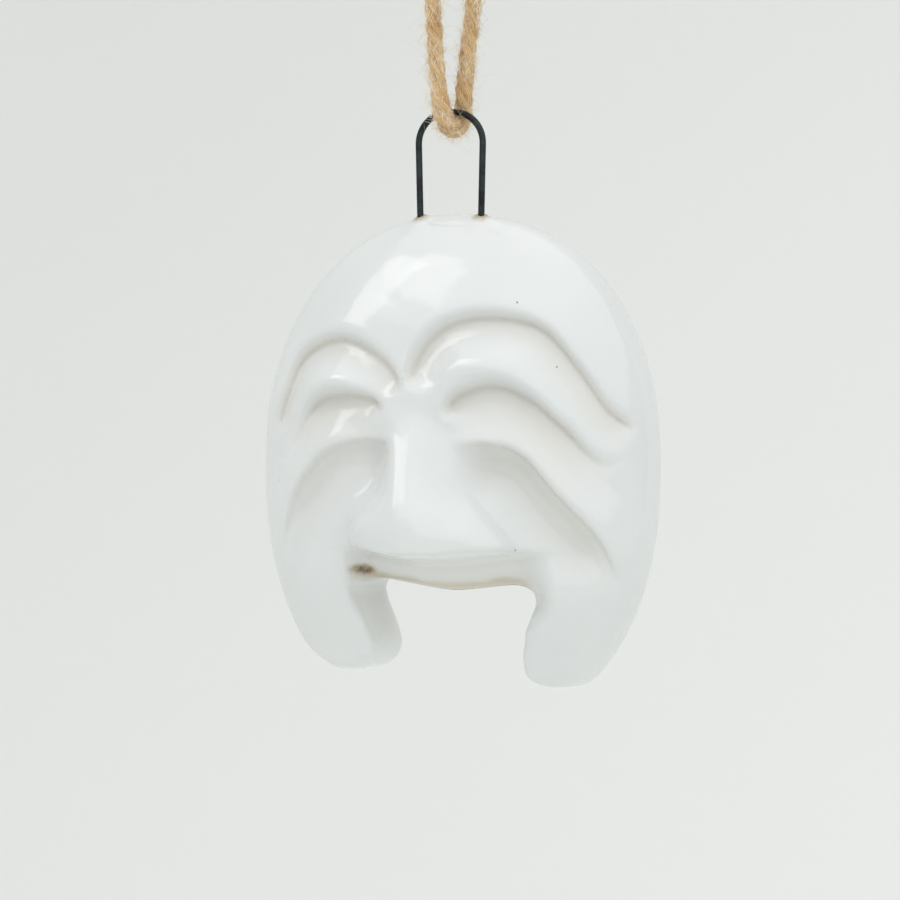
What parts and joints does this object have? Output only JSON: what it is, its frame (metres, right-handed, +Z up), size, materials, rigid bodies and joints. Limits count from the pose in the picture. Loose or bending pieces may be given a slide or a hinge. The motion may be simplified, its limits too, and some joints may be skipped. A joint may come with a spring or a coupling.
{
  "type": "ceramic hanging mask",
  "caption": "Small white glazed ceramic smiling face mask, open below the upper lip, on a dark wire bow hung from a knotted loop of jute twine.",
  "frame": {"origin": "inside top of the twine's hanging loop, where a hook or nail carries it", "axes": "+Z up along the hanging twine, -Y the way the face looks, +X the viewer's right"},
  "size_m": [0.0518, 0.0233, 0.1015],
  "materials": {
    "glaze": "white gloss glaze over a pale clay body",
    "wire": "nichrome wire, oxidised near black in the kiln",
    "jute": "natural jute twine, twisted, hairy"
  },
  "bodies": {
    "hanging_end": {"twine_crown": "jute", "twine_knot": "jute", "twine_tail_left": "jute", "twine_tail_right": "jute"},
    "twine": {"twine_legs": "jute"},
    "mask": {"mask_shell": "glaze", "wire_bow": "wire"}
  },
  "joints": [
    {"name": "twine_twist", "type": "hinge", "parent": "hanging_end", "child": "twine", "pos_m": [0, 0, -0.0042], "axis": [0, 0, 1], "range_deg": [-90, 90], "stiffness_Nm_per_rad": 0.000175},
    {"name": "bow_swing", "type": "hinge", "parent": "twine", "child": "mask", "pos_m": [0, 0, -0.02], "axis": [1, 0, 0], "range_deg": [-60, 60]}
  ]
}
